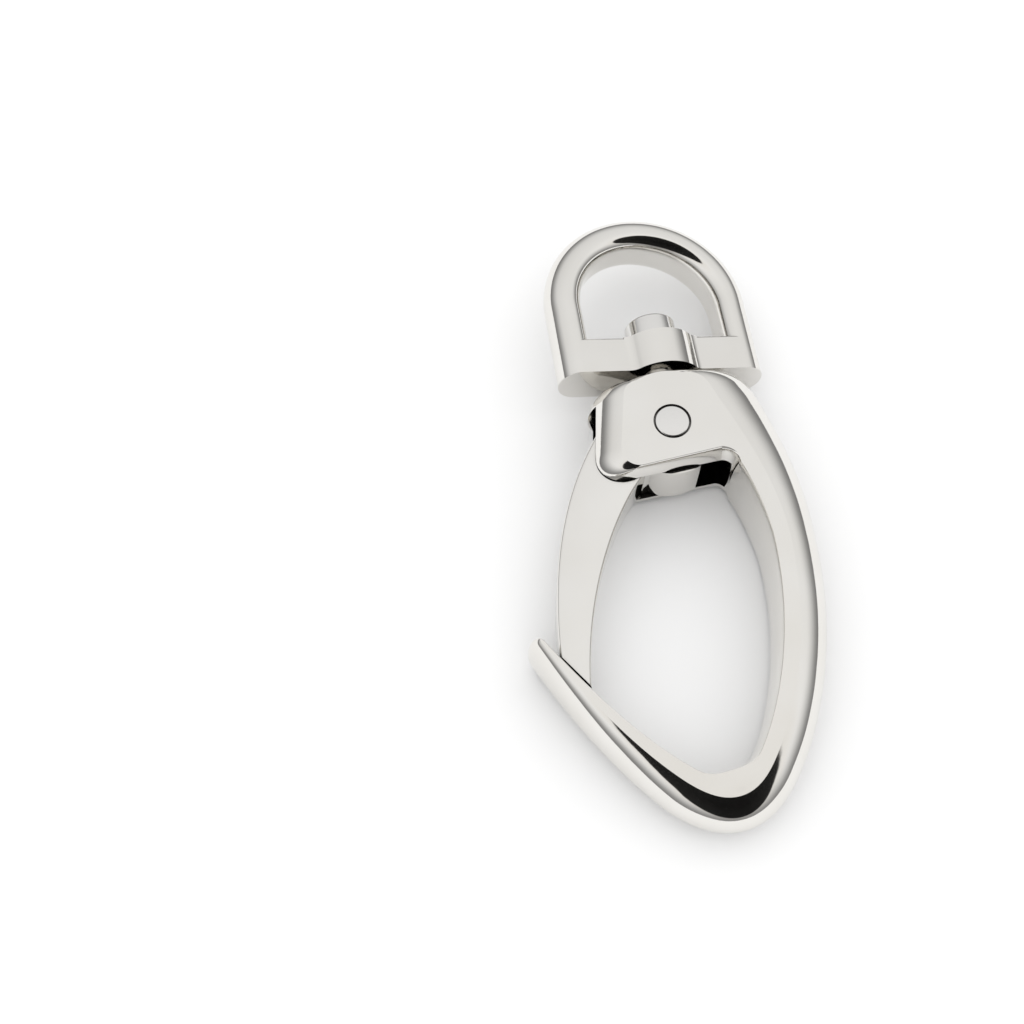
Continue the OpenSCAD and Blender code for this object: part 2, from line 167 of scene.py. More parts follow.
class Layout:
    """The hook's own plan: centre line of the bar and outline of the casting, in mm from the swivel axis."""

    # The base: its corners, its shoulder beside the back bar and the fillet that runs into the window
    base_below_rivet, base_drop, base_flare, base_taper = 3.75, 1.05, 0.95, 0.85
    shoulder_in, shoulder_drop, crown_full = 1.2, 0.3, 2.6
    corner_r, window_fillet = (2.2, 2.8, 2.3), 0.9
    corner_steps, crown_steps = 12, 16
    slot_corner = 0.9
    # The nose's blunt end, at the parting line and along the crease on the flat faces
    tip_r, tip_crease = 1.1, 0.3
    # Width of the flank at the five ends of the four curves
    flanks = (4.5, 2.95, 2.4, 2.1, 1.0)

    def __init__(self):
        scene = bpy.context.scene
        self.c, self.f = scene.snaphook_casting, scene.snaphook_fittings
        c, f = self.c, self.f
        self.steps = c.line_steps
        self.stations = 4 * self.steps
        self.rivet = Vector((-mm(f, "rivet_side"), -mm(c, "slot_depth")))
        self.base_low = self.rivet.y - self.base_below_rivet
        self.slope = (mm(c, "body_t") - mm(c, "bow_t")) / 2 / mm(c, "reach")
        wedge = atan(self.slope)
        rest = Matrix.Translation((0, 0, self.half_t(0) * cos(wedge))) @ Matrix.Rotation(wedge, 4, "X")
        self.at_rest = Matrix.Scale(MM, 4) @ rest
        self.gate_t = mm(c, "slot_h") - 2 * mm(f, "gate_play")
        wire = mm(f, "wire_d")
        self.pocket_floor = self.gate_t / 2 - COIL_TURNS * (wire + COIL_GAP) - wire - 2 * COIL_ROOM
        self.centre_line()
        base_swell, middle_swell, bow_neck, nose_root = 1.95, 0.2, 0.5, 0.2
        spine, nose = mm(c, "spine_w"), mm(c, "nose_w")
        self.widths = [spine + base_swell, spine + middle_swell, spine - bow_neck, nose + nose_root]
        self.widths.append(mm(c, "nose_tip_w"))
        self.swell = mm(c, "bow_w") - (spine - bow_neck + nose + nose_root) / 2

    def centre_line(self):
        """Four cubic curves: down the back bar to its middle, on to the bow, round it and up the nose."""
        x, y = self.rivet
        start, mid = Vector((x + 5.75, y + 1.9)), Vector((x + 8.5, y - 11.5))
        bow = Vector((x - 0.8, y - mm(self.c, "reach") + mm(self.c, "bow_w") / 2))
        bow_in, bow_out = bow + Vector((3.8, 2.6)), bow + Vector((-4.2, 1.6))
        d_in, d_out = polar(1, 235), polar(1, 138)
        self.nose_end, self.nose_dir = bow + Vector((-13.8, 14.6)), polar(1, 119)
        self.line = [
            [start, start + Vector((1.8, -5)), mid + Vector((0, 4.5)), mid],
            [mid, mid - Vector((0, 7.5)), bow_in - 5.5 * d_in, bow_in],
            [bow_in, bow_in + 3.4 * d_in, bow_out - 3.4 * d_out, bow_out],
            [bow_out, bow_out + 5 * d_out, self.nose_end - 5 * self.nose_dir, self.nose_end],
        ]

    def half_t(self, y):
        """Half the thickness there: the two flat faces close on each other towards the bow."""
        return mm(self.c, "body_t") / 2 + (y - self.rivet.y) * self.slope

    def at(self, k):
        """Which of the four curves a station is on, and how far along it."""
        s = min(3, int(k // self.steps))
        return s, k / self.steps - s

    def width(self, k):
        s, t = self.at(k)
        return mix(self.widths[s], self.widths[s + 1], t) + (self.swell * sin(pi * t) ** 2 if s == 2 else 0)

    def flank(self, k):
        s, t = self.at(k)
        return mix(self.flanks[s], self.flanks[s + 1], t)

    def rail(self, k, from_outer):
        """A line along the bar, so far in from its outer side."""
        s, t = self.at(k)
        d = bez_dir(self.line[s], t).normalized()
        return bez(self.line[s], t) + Vector((-d.y, d.x)) * (self.width(k) / 2 - from_outer)

    def window(self, k, inside):
        return self.rail(k, self.width(k) - inside)

    def inner_rail(self, u):
        return self.window(u * self.steps, 0)

    def corner(self, p, before, after, r):
        """A corner of the base, rounded to the radius."""
        a, b = (before - p).normalized(), (after - p).normalized()
        turn = acos(a.dot(b))
        centre = p + (a + b).normalized() * r / sin(turn / 2)
        start, end = p + a * r / tan(turn / 2) - centre, p + b * r / tan(turn / 2) - centre
        a0, a1 = degrees(atan2(start.y, start.x)), degrees(atan2(end.y, end.x))
        sweep, n = (a1 - a0 + 540) % 360 - 180, self.corner_steps
        return [centre + polar(r, a0 + sweep * k / n) for k in range(n + 1)]

    def tip(self, deep, rim):
        """The blunt end of the nose."""
        f, ahead = (self.flanks[4], self.tip_crease) if deep else (0, self.tip_r)
        d, w = self.nose_dir, mm(self.c, "nose_tip_w")
        out = Vector((-d.y, d.x))
        middle, half = (rim - f) / 2, (w - f - rim) / 2
        turns = [pi * k / self.corner_steps for k in range(1, self.corner_steps)]
        return [self.nose_end + out * (middle + half * cos(a)) + d * ahead * sin(a) for a in turns]

    def outline(self, deep):
        """The whole outline, at the parting line or, deep, along the crease on the flat faces."""
        c, n, fillet, low = self.c, self.corner_steps, self.window_fillet, self.base_low
        edge, left, rim = (mm(c, "base_edge"), mm(c, "base_bevel"), mm(c, "rim_r")) if deep else (0, 0, 0)
        end, side, crown = mm(c, "end_wall"), mm(c, "base_left"), mm(c, "base_crown")
        fy = low - fillet
        rail = [self.window(k, 0) for k in range(2 * self.steps)]
        j = next(i for i in range(len(rail) - 1) if rail[i + 1].y < fy)
        fx = mix(rail[j].x, rail[j + 1].x, (fy - rail[j].y) / (rail[j + 1].y - rail[j].y)) - fillet
        back = [self.rail(k, self.flank(k) if deep else 0) for k in range(self.stations + 1)]
        clear = fy - fillet / 3
        window = [self.window(k, rim) for k in range(self.stations, -1, -1) if self.window(k, 0).y < clear]
        arc = [Vector((fx, fy)) + polar(fillet + mix(rim, edge, k / n), 90 * k / n) for k in range(n + 1)]
        q = [
            Vector((-side + self.base_taper + left, end - crown - edge)),
            Vector((back[0].x - self.shoulder_in, end - self.shoulder_drop - edge)),
            Vector((-side - self.base_flare + left, low - self.base_drop + edge)),
        ]
        c0 = self.corner(q[0], q[2], q[1], self.corner_r[0] - edge)
        c1 = self.corner(q[1], q[0], back[0], self.corner_r[1] - edge)
        c2 = self.corner(q[2], arc[-1], q[0], self.corner_r[2] - edge)
        across = [k / self.crown_steps for k in range(1, self.crown_steps)]
        bulge = [c0[-1].lerp(c1[0], t) + Vector((0, crown * self.crown_full * t * (1 - t))) for t in across]
        return c0 + bulge + c1 + back + self.tip(deep, rim) + window + arc + c2


def part(name, bm):
    """A new object from a bmesh, still in mm in the hook's own frame, where cuts and joins are exact."""
    bmesh.ops.recalc_face_normals(bm, faces=bm.faces)
    mesh = bpy.data.meshes.new(name)
    bm.to_mesh(mesh)
    bm.free()
    obj = bpy.data.objects.new(name, mesh)
    bpy.context.scene.collection.objects.link(obj)
    return obj


def settle(obj, name, matrix, sharp):
    """The finished piece under its own name in the shared frame, smooth but for its real edges."""
    obj.name = name
    obj.data.transform(matrix)
    obj.data.update()
    obj.data.polygons.foreach_set("use_smooth", [True] * len(obj.data.polygons))
    obj.data.set_sharp_from_angle(angle=radians(sharp))
    return obj


def closed_loop(bm, points):
    verts = [bm.verts.new(p) for p in points]
    return [bm.edges.new((verts[i], verts[(i + 1) % len(verts)])) for i in range(len(verts))]


def loft(bm, rings):
    """Rings of points joined into a skin, with its ends closed."""
    loops = [closed_loop(bm, ring) for ring in rings]
    for a, b in zip(loops, loops[1:]):
        bmesh.ops.bridge_loops(bm, edges=a + b)
    for loop in (loops[0], loops[-1]):
        bmesh.ops.contextual_create(bm, geom=loop)
    return bm


def prism(bm, points, z0, z1):
    """A flat outline drawn up into a block."""
    face = bmesh.ops.contextual_create(bm, geom=closed_loop(bm, [(x, y, z0) for x, y in points]))["faces"]
    raised = bmesh.ops.extrude_face_region(bm, geom=face)["geom"]
    corners = [v for v in raised if isinstance(v, bmesh.types.BMVert)]
    bmesh.ops.translate(bm, vec=(0, 0, z1 - z0), verts=corners)
    return bm


def rod(bm, centre, r, depth, axis="Z"):
    turn = Matrix.Rotation(radians(-90), 4, "X") if axis == "Y" else Matrix.Identity(4)
    bmesh.ops.create_cone(bm, cap_ends=True, segments=96, radius1=r, radius2=r, depth=depth,
                          matrix=Matrix.Translation(centre) @ turn)
    return bm


def block(bm, matrix, size):
    bmesh.ops.create_cube(bm, size=1, matrix=matrix @ Matrix.Diagonal((*size, 1)))
    return bm


def combine(obj, others, operation):
    """Cuts or joins with other closed pieces and keeps one clean mesh."""
    for other in others:
        step = obj.modifiers.new(operation.title(), "BOOLEAN")
        step.operation, step.solver, step.object = operation, "EXACT", other
    mesh = bpy.data.meshes.new_from_object(obj.evaluated_get(bpy.context.evaluated_depsgraph_get()))
    obj.modifiers.clear()
    old, obj.data = obj.data, mesh
    bpy.data.meshes.remove(old)
    for other in others:
        data = other.data
        bpy.data.objects.remove(other)
        bpy.data.meshes.remove(data)
    weld = 1e-4
    bm = bmesh.new()
    bm.from_mesh(obj.data)
    bmesh.ops.remove_doubles(bm, verts=bm.verts, dist=weld)
    bmesh.ops.dissolve_degenerate(bm, edges=bm.edges, dist=weld)
    bm.to_mesh(obj.data)
    bm.free()
    return obj


def node(tree, kind, setup=None, **inputs):
    """A shader node with its options and inputs set; an underscore in a name stands for a space."""
    made = tree.nodes.new("ShaderNode" + kind)
    for name, value in (setup or {}).items():
        setattr(made, name, value)
    for name, value in inputs.items():
        made.inputs[name.replace("_", " ")].default_value = value
    return made


def metal(name, colour, roughness, wave, pits):
    """Polished or drawn metal: faint waves of hand polishing, fine pits, a little uneven gloss, painted shade
    in gaps.
    """
    mat = bpy.data.materials.new(name)
    mat.use_nodes = True
    tree = mat.node_tree
    tree.nodes.clear()
    join = tree.links.new
    out, skin = node(tree, "OutputMaterial"), node(tree, "BsdfPrincipled", Metallic=1)
    place = node(tree, "TexCoord")
    soft, fine = node(tree, "TexNoise", Scale=190, Detail=1.5), node(tree, "TexNoise", Scale=1900, Detail=3)
    for noise in (soft, fine):
        join(place.outputs["Object"], noise.inputs["Vector"])
    # The plating is a shade warmer and darker in soft patches
    tint, patch = node(tree, "ValToRGB"), (0.97, 0.965, 0.955)
    low, high = tint.color_ramp.elements
    low.position, high.position = 0.3, 0.7
    low.color = (*(c * p for c, p in zip(colour, patch)), 1)
    high.color = (*colour, 1)
    join(soft.outputs["Fac"], tint.inputs["Fac"])
    gloss = node(tree, "MapRange", To_Min=roughness * 0.7, To_Max=roughness * 1.4)
    join(fine.outputs["Fac"], gloss.inputs["Value"])
    waves = node(tree, "Bump", Strength=wave, Distance=0.0002)
    grain = node(tree, "Bump", Strength=pits, Distance=0.00002)
    join(soft.outputs["Fac"], waves.inputs["Height"])
    join(fine.outputs["Fac"], grain.inputs["Height"])
    join(waves.outputs["Normal"], grain.inputs["Normal"])
    # Painted shade: ambient occlusion darkens the base colour in narrow gaps, where little light reaches
    gap = node(tree, "AmbientOcclusion", {"samples": 6}, Distance=0.0007)
    depth = node(tree, "MapRange", From_Min=0.35, From_Max=0.8, To_Min=0.1, To_Max=1.0)
    tint_with_painted_shade = node(tree, "VectorMath", {"operation": "SCALE"})
    join(gap.outputs["AO"], depth.inputs["Value"])
    join(tint.outputs["Color"], tint_with_painted_shade.inputs[0])
    join(depth.outputs["Result"], tint_with_painted_shade.inputs["Scale"])
    # The base colour carries the tint with the painted shade
    join(tint_with_painted_shade.outputs["Vector"], skin.inputs["Base Color"])
    join(gloss.outputs["Result"], skin.inputs["Roughness"])
    join(grain.outputs["Normal"], skin.inputs["Normal"])
    join(skin.outputs["BSDF"], out.inputs["Surface"])
    return mat


def metal_finish(name):
    """The metal finish of that name, made when the first piece asks for it."""
    if name in bpy.data.materials:
        return bpy.data.materials[name]
    look = bpy.context.scene.snaphook_look
    colour, roughness, wave, pits = {
        "polished_nickel": (look.nickel, look.gloss, 0.28, 0.05),
        "pin_nickel": (look.pin, look.gloss * 2.2, 0.12, 0.25),
        "spring_wire": (look.wire, 0.22, 0.05, 0.3),
    }[name]
    return metal(name, colour, roughness, wave, pits)


def dress(obj, coat, replaced):
    """A piece gets its finish, and takes the place of its node in the construction."""
    obj.data.materials.clear()
    obj.data.materials.append(metal_finish(coat))
    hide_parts(replaced)


class SNAPHOOK_OT_casting(Operator):
    """Model the hook's casting: cushion base, back bar, bow and nose, slotted and bored."""

    bl_idname = "snaphook.casting"
    bl_label = "Build casting"

    crease_angle = 14

    def execute(self, context):
        p = Layout()
        body = part("casting", loft(bmesh.new(), self.rings(p)))
        combine(body, self.cutters(p), "DIFFERENCE")
        settle(body, "hook_casting", p.at_rest, 11)
        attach(body, "hook")
        dress(body, "polished_nickel", "hook_body")
        return {"FINISHED"}

    def rings(self, p):
        """The outline at each level of the rounded flank, from the lower crease to the upper one."""
        n, crease = p.c.flank_steps, radians(self.crease_angle)
        angles = [mix(crease, pi / 2, i / n) for i in range(n + 1)]
        flank = [((sin(a) - sin(crease)) / (1 - sin(crease)), cos(a) / cos(crease)) for a in angles]
        levels = [(out, -up) for out, up in flank] + [(out, up) for out, up in reversed(flank[:-1])]
        outer, inner = p.outline(False), p.outline(True)
        for out, up in levels:
            flat = [a.lerp(b, out) for a, b in zip(inner, outer)]
            yield [(q.x, q.y, up * p.half_t(q.y)) for q in flat]

    def cutters(self, p):
        """The gate's slot, the rivet's bore with a groove round each end, and the post's bore."""
        c, f = p.c, p.f
        half, right, corner = mm(c, "slot_h") / 2, mm(c, "slot_right"), p.slot_corner
        left, low = -2 * mm(c, "base_left"), p.base_low - p.base_drop - 1
        shape = [(left, low), (right, low)]
        shape += [tuple(Vector((right - corner, -corner)) + polar(corner, a)) for a in range(0, 91, 5)]
        shape.append((left, 0))
        r, body_t, cap = mm(f, "rivet_d") / 2, mm(c, "body_t"), 2
        made = [part("slot", prism(bmesh.new(), shape, -half, half))]
        made.append(part("bore", rod(bmesh.new(), (*p.rivet, 0), r, 2 * body_t)))
        level = body_t / 2 + cap / 2 - mm(f, "groove_depth")
        for s in (-1, 1):
            made.append(part("groove", rod(bmesh.new(), (*p.rivet, s * level), r + mm(f, "groove_w"), cap)))
        top, depth = 2 * mm(c, "end_wall"), 2 * mm(c, "end_wall") + mm(c, "slot_depth")
        bore = rod(bmesh.new(), (0, top - depth / 2, 0), mm(f, "shank_d") / 2, depth, "Y")
        made.append(part("post_bore", bore))
        return made


class SNAPHOOK_OT_gate(Operator):
    """Model the sprung gate: its tapering arm, the eyelet and the toe that swings past the cheeks."""

    bl_idname = "snaphook.gate"
    bl_label = "Build gate"

    meet_before, meet, meet_after = 3.62, 3.78, 3.9
    end_inner, end_outer = 1.75, 2.0
    arm_steps = 40

    def execute(self, context):
        p = Layout()
        t = p.gate_t
        outer, inner = self.edges(p)
        gate = part("arm", loft(bmesh.new(), self.rings(p, outer, inner)))
        hub = part("hub", prism(bmesh.new(), self.hub(p, outer[0], inner[0]), -t / 2, t / 2))
        combine(gate, [hub], "UNION")
        combine(gate, self.cutters(p), "DIFFERENCE")
        settle(gate, "snap_gate", p.at_rest, 24)
        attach(gate, "gate")
        dress(gate, "polished_nickel", "gate")
        return {"FINISHED"}

    def edges(self, p):
        """The two curves of the arm, from the rivet to the closing face that lies along the nose."""
        at, face = p.rivet, p.inner_rail(self.meet)
        along = (p.inner_rail(self.meet_after) - p.inner_rail(self.meet_before)).normalized()
        gap = Vector((along.y, -along.x)) * mm(p.f, "gate_gap")
        end_in, end_out = face + gap - along * self.end_inner, face + gap + along * self.end_outer
        outer = [at + Vector((-6.1, 1.2)), at + Vector((-9.6, -3.2)), at + Vector((-12.4, -9.4)), end_out]
        inner = [at + Vector((-2.5, -3.4)), at + Vector((-5.3, -5.7)), at + Vector((-9.8, -13.2)), end_in]
        return outer, inner

    def rings(self, p, outer, inner):
        """Sections of the arm: a rounded bar that thins towards its free end."""
        r = mm(p.f, "gate_round")
        for k in range(self.arm_steps + 1):
            u = k / self.arm_steps
            o, i = bez(outer, u), bez(inner, u)
            x, w, h = (o - i).normalized(), (o - i).length, mix(p.gate_t, mm(p.f, "gate_tip_t"), u) / 2
            ring = []
            for cx, cz, a0 in ((r, -h + r, 180), (w - r, -h + r, 270), (w - r, h - r, 0), (r, h - r, 90)):
                for a in range(a0, a0 + 91, 18):
                    q = i + x * (cx + r * cos(radians(a)))
                    ring.append((q.x, q.y, cz + r * sin(radians(a))))
            yield ring

    def hub(self, p, root_outer, root_inner):
        """Outline of the eyelet round the rivet and of the toe, with its rounded tip."""
        at, toe, eyelet = p.rivet, mm(p.f, "toe_r"), mm(p.f, "eyelet_r")
        tip, toe_from, round_end = 0.8, -44, 22
        hub = [root_outer + Vector((0.02, -0.02))]
        hub += [at + polar(eyelet, a) for a in range(100, -31, -5)]
        for a in range(10, 91, 10):
            sink, on = 1 - sin(radians(a)), 1 - cos(radians(a))
            hub.append(at + polar(toe - tip * sink, toe_from - round_end * on))
        hub += [at + polar(toe, a) for a in range(toe_from - round_end - 3, -125, -3)]
        return hub + [root_inner + Vector((-0.4, -0.4)), root_inner + Vector((-1.5, 0))]

    def cutters(self, p):
        """The spring's pocket, the groove for its leg and the running bore."""
        x, y = p.rivet
        t, pocket_r, wire, rivet_r = p.gate_t, 2.6, mm(p.f, "wire_d"), mm(p.f, "rivet_d") / 2
        reach, room = LEG_LENGTH + COIL_ROOM, wire + LEG_SEAT + 2 * COIL_ROOM
        middle, level = rivet_r + COIL_ROOM - LEG_SEAT + room / 2, p.pocket_floor + t / 2
        leg = Matrix.Translation((x, y, level)) @ Matrix.Rotation(radians(LEG_HEADING), 4, "Z")
        leg = leg @ Matrix.Translation((reach / 2, middle, 0))
        return [
            part("pocket", rod(bmesh.new(), (x, y, level), pocket_r, t)),
            part("groove", block(bmesh.new(), leg, (reach, room, t))),
            part("bore", rod(bmesh.new(), (x, y, 0), rivet_r + mm(p.f, "rivet_play"), 2 * t)),
        ]


class SNAPHOOK_OT_rivet(Operator):
    """Model the gate rivet, its ends dressed flush with the two flat faces."""

    bl_idname = "snaphook.rivet"
    bl_label = "Build rivet"

    def execute(self, context):
        p = Layout()
        x, y = p.rivet
        bm = rod(bmesh.new(), (x, y, 0), mm(p.f, "rivet_d") / 2, 1.5 * mm(p.c, "body_t"))
        for s in (-1, 1):
            face, square = (0, y, s * p.half_t(y)), Vector((0, -p.slope, s)).normalized()
            cut = bmesh.ops.bisect_plane(bm, geom=bm.verts[:] + bm.edges[:] + bm.faces[:], clear_outer=True,
                                         plane_co=face, plane_no=square)
            rim = [e for e in cut["geom_cut"] if isinstance(e, bmesh.types.BMEdge)]
            bmesh.ops.contextual_create(bm, geom=rim)
            bmesh.ops.bevel(bm, geom=rim, offset=0.1, segments=4, profile=0.5, affect="EDGES", material=-1)
        rivet = settle(part("rivet", bm), "gate_rivet_pin", p.at_rest, 40)
        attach(rivet, "hook")
        dress(rivet, "pin_nickel", "gate_rivet")
        return {"FINISHED"}


class SNAPHOOK_OT_spring(Operator):
    """Model the gate spring: a coil round the rivet, a fixed leg and a long leg that lies in the gate's
    groove.
    """

    bl_idname = "snaphook.spring"
    bl_label = "Build spring"

    # Two distances from the rivet along the long leg; points there are worked out but not used
    bends_from, bends_to = 0.9, 3.2
    steps_a_turn, wire_sides = 32, 16

    def execute(self, context):
        p = Layout()
        x, y = p.rivet
        spring = settle(part("spring", loft(bmesh.new(), self.rings(p))), "gate_coil", p.at_rest, 50)
        leg_from, leg_to = (p.at_rest @ Vector((x - out, y, 0)) for out in (self.bends_from, self.bends_to))
        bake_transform(spring)
        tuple(leg_from)
        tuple(leg_to)
        dress(spring, "spring_wire", "gate_spring")
        return {"FINISHED"}

    def wire_line(self, p):
        """Middle of the wire: the long leg's end, round the coil and out to the fixed leg's end."""
        at, wire = p.rivet, mm(p.f, "wire_d")
        pitch, coil = wire + COIL_GAP, mm(p.f, "rivet_d") / 2 + COIL_ROOM + wire / 2
        z0 = p.pocket_floor + COIL_ROOM + wire / 2
        fixed = Vector((mm(p.c, "slot_right") - p.slot_corner, -wire / 2 - LEG_SEAT)) - at
        first = LEG_HEADING + 90
        last = degrees(atan2(fixed.y, fixed.x)) - degrees(acos(coil / fixed.length)) + 360
        sweep, n = last - first + 360 * (COIL_TURNS - 1), self.steps_a_turn * COIL_TURNS
        leg = at + polar(coil, first) + polar(LEG_LENGTH, LEG_HEADING)
        line = [Vector((*leg, z0))]
        for i in range(n + 1):
            line.append(Vector((*(at + polar(coil, first + sweep * i / n)), z0 + pitch * COIL_TURNS * i / n)))
        line.append(Vector((*(at + fixed), line[-1].z)))
        return line

    def rings(self, p):
        """The round wire carried along its line."""
        r, line = mm(p.f, "wire_d") / 2, self.wire_line(p)
        turns = [2 * pi * k / self.wire_sides for k in range(self.wire_sides)]
        for i, q in enumerate(line):
            d = (line[min(i + 1, len(line) - 1)] - line[max(i - 1, 0)]).normalized()
            u = Vector((0, 0, 1)).cross(d).normalized()
            v = d.cross(u)
            yield [q + (u * cos(a) + v * sin(a)) * r for a in turns]


class SNAPHOOK_OT_post(Operator):
    """Model the swivel post: a headed shank, peened over inside the slot."""

    bl_idname = "snaphook.post"
    bl_label = "Build post"

    def execute(self, context):
        p = Layout()
        bm = bmesh.new()
        verts = [bm.verts.new((x, y, 0)) for x, y in self.profile(p)]
        edges = [bm.edges.new(pair) for pair in zip(verts, verts[1:])]
        bmesh.ops.spin(bm, geom=verts + edges, axis=(0, 1, 0), cent=(0, 0, 0), angle=2 * pi, steps=96,
                       use_merge=True)
        bmesh.ops.remove_doubles(bm, verts=bm.verts, dist=1e-4)
        post = settle(part("post", bm), "swivel_pin", p.at_rest, 32)
        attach(post, "hook")
        dress(post, "pin_nickel", "swivel_post")
        return {"FINISHED"}

    def profile(self, p):
        """Half of the post's section, from the peened tail to the rounded head, faintly hollow on its end."""
        f = p.f
        bar_end = mm(p.c, "end_wall") + mm(f, "end_play") + mm(f, "bar_l")
        seat, top = bar_end - mm(f, "recess_l") + mm(f, "end_play") * 0.1, bar_end + mm(f, "head_out")
        shank, head, tail, t = mm(f, "shank_d") / 2, mm(f, "head_d") / 2, mm(f, "tail_d") / 2, mm(f, "tail_t")
        edge, high, flat, flat_down, middle_down = 0.45, 0.45 * 0.7, 1.1, 0.02, 0.03
        line = [(0, -t), (tail - t * 0.5, -t), (tail - t * 0.15, -t * 0.8), (tail, -t * 0.45), (tail, 0)]
        line += [(shank, 0), (shank, seat), (head, seat)]
        for a in range(0, 91, 10):
            line.append((head - edge + edge * cos(radians(a)), top - high + high * sin(radians(a))))
        return line + [(head - flat, top - flat_down), (0, top - middle_down)]


class SNAPHOOK_OT_eye(Operator):
    """Model the swivel eye: a D-shaped ring, its crossbar and the bored boss."""

    bl_idname = "snaphook.eye"
    bl_label = "Build eye"

    outer_round, rim_round, rim_drop = 1.94, 1.2, 1.5
    arch_steps = 60
    fillet_steps, boss_steps = 8, 14

    def execute(self, context):
        p = Layout()
        f = p.f
        bar_y = mm(p.c, "end_wall") + mm(f, "end_play")
        bar_end, inner, half_t = bar_y + mm(f, "bar_l"), mm(f, "eye_inner_w") / 2, mm(f, "eye_t") / 2
        eye = part("ring", loft(bmesh.new(), self.rings(f, bar_y, bar_end, inner, half_t)))
        combine(eye, [self.crossbar(bar_y, bar_end, inner, half_t), self.boss(f, bar_end, half_t)], "UNION")
        post_play, through, cut = 0.06, 12, 4
        recess_at = (0, bar_end - mm(f, "recess_l") + cut / 2, 0)
        combine(eye, [
            part("bore", rod(bmesh.new(), (0, bar_y, 0), mm(f, "shank_d") / 2 + post_play, through, "Y")),
            part("recess", rod(bmesh.new(), recess_at, mm(f, "recess_d") / 2, cut, "Y")),
        ], "DIFFERENCE")
        settle(eye, "swivel_ring", p.at_rest @ Matrix.Rotation(f.eye_turn, 4, "Y"), 24)
        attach(eye, "eye")
        dress(eye, "polished_nickel", "swivel_eye")
        return {"FINISHED"}

    def rings(self, f, bar_y, bar_end, inner, half_t):
        """Sections up one leg, round the arch and down the other."""
        half = inner + mm(f, "eye_leg_w")
        in_y = bar_end + mm(f, "eye_inner_l") - inner
        out_y = bar_end + mm(f, "eye_inner_l") + mm(f, "eye_bow_w") - half
        leg = (bar_y, bar_y + 2, bar_end, mix(bar_end, in_y, 0.5))
        pairs = [(Vector((inner, y)), Vector((half, y))) for y in leg]
        for k in range(self.arch_steps + 1):
            a = 180 * k / self.arch_steps
            pairs.append((Vector((0, in_y)) + polar(inner, a), Vector((0, out_y)) + polar(half, a)))
        pairs += [(Vector((-i.x, i.y)), Vector((-o.x, o.y))) for i, o in reversed(pairs[:len(leg)])]
        for i, o in pairs:
            x = (o - i).normalized()
            yield [(*(i + x * s), z) for s, z in self.section((o - i).length, half_t)]

    def section(self, w, h):
        """One section of the ring: nearly a half circle outside, eased edges inside."""
        outside = [radians(a) for a in range(-90, 91, 9)]
        inside = [radians(a) for a in range(0, 91, 9)]
        shape = [(w - self.outer_round * (1 - cos(a)), sin(a) * h) for a in outside]
        upper = [(self.rim_round * (1 - sin(a)), h - self.rim_drop * (1 - cos(a))) for a in inside]
        return shape + upper + [(x, -z) for x, z in reversed(upper)]

    def crossbar(self, bar_y, bar_end, inner, half_t):
        """The bar between the legs, its two long edges on the strap's side eased."""
        bite, middle = 1.2, Matrix.Translation((0, (bar_y + bar_end) / 2, 0))
        bar = block(bmesh.new(), middle, (2 * inner + 2 * bite, bar_end - bar_y, 2 * half_t))
        near = [e for e in bar.edges if e.verts[0].co.y > bar_end - 0.01]
        long = [e for e in near if abs(e.verts[0].co.x - e.verts[1].co.x) > 1]
        bmesh.ops.bevel(bar, geom=long, offset=0.3, segments=5, profile=0.5, affect="EDGES", material=-1)
        return part("bar", bar)

    def boss(self, f, bar_end, half_t):
        """The boss round the post, with a hollow fillet where it stands out of the bar."""
        r, g = mm(f, "boss_r"), mm(f, "boss_fillet")
        foot_x, foot_z = sqrt((r + g) ** 2 - (half_t + g) ** 2), half_t + g
        a0 = degrees(atan2(foot_z, foot_x))
        hollow = [radians(mix(270, 180 + a0, k / self.fillet_steps)) for k in range(self.fillet_steps + 1)]
        top = [(foot_x + g * cos(a), foot_z + g * sin(a)) for a in hollow]
        top += [tuple(polar(r, mix(a0, 90, k / self.boss_steps))) for k in range(1, self.boss_steps + 1)]
        shape = top + [(-x, z) for x, z in reversed(top[:-1])]
        shape += [(x, -z) for x, z in reversed(shape)]
        boss = prism(bmesh.new(), shape, 0, mm(f, "bar_l"))
        lay = Matrix.Translation((0, bar_end, 0)) @ Matrix.Rotation(radians(90), 4, "X")
        bmesh.ops.transform(boss, matrix=lay, verts=boss.verts)
        return part("boss", boss)


